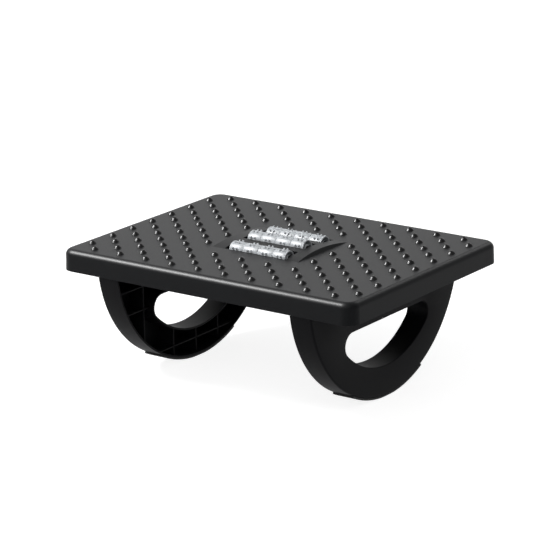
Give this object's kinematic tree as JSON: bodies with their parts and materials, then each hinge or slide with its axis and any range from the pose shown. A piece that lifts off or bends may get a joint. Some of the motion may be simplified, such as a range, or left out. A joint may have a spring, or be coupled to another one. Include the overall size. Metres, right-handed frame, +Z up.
{
  "type": "under desk footrest",
  "caption": "Rocking under-desk footrest: a nubbed plastic deck with massage rollers set in a low hump, on hollow half-moon rockers with rubber treads.",
  "frame": {"origin": "on the floor, below the middle of the deck", "axes": "+X to the user's right along the deck's long side, +Y away from the user (the front skirt faces -Y), +Z up"},
  "size_m": [0.437, 0.323, 0.1799],
  "materials": {
    "deck_plastic": "dark grey ABS, fine spark-eroded grain on top, smoother skirt",
    "rocker_plastic": "black ABS, fine moulded grain",
    "tread_rubber": "black rubber strip, matt",
    "strap_plastic": "black nylon, plain",
    "roller_plastic": "white polypropylene, half gloss",
    "axle_steel": "drawn steel bar",
    "zinc_steel": "zinc plated screws"
  },
  "bodies": {
    "root": {"platform": "deck_plastic", "rocker_left": "rocker_plastic", "tread_left": "tread_rubber", "axle_strap_left": "strap_plastic", "rocker_right": "rocker_plastic", "tread_right": "tread_rubber", "axle_strap_right": "strap_plastic", "rocker_screws": "zinc_steel", "strap_screws": "zinc_steel"},
    "roller_front": {"axle_front": "axle_steel", "roller_ring_front_1": "roller_plastic", "roller_ring_front_2": "roller_plastic", "roller_ring_front_3": "roller_plastic", "roller_ring_front_4": "roller_plastic"},
    "roller_middle": {"axle_middle": "axle_steel", "roller_ring_middle_1": "roller_plastic", "roller_ring_middle_2": "roller_plastic", "roller_ring_middle_3": "roller_plastic", "roller_ring_middle_4": "roller_plastic"},
    "roller_rear": {"axle_rear": "axle_steel", "roller_ring_rear_1": "roller_plastic", "roller_ring_rear_2": "roller_plastic", "roller_ring_rear_3": "roller_plastic", "roller_ring_rear_4": "roller_plastic"}
  },
  "joints": [
    {"name": "roller_front_spin", "type": "hinge", "parent": "root", "child": "roller_front", "pos_m": [0, -0.038, 0.1635], "axis": [1, 0, 0], "continuous": true},
    {"name": "roller_middle_spin", "type": "hinge", "parent": "root", "child": "roller_middle", "pos_m": [0, 0, 0.1679], "axis": [1, 0, 0], "continuous": true},
    {"name": "roller_rear_spin", "type": "hinge", "parent": "root", "child": "roller_rear", "pos_m": [0, 0.038, 0.1635], "axis": [1, 0, 0], "continuous": true}
  ]
}
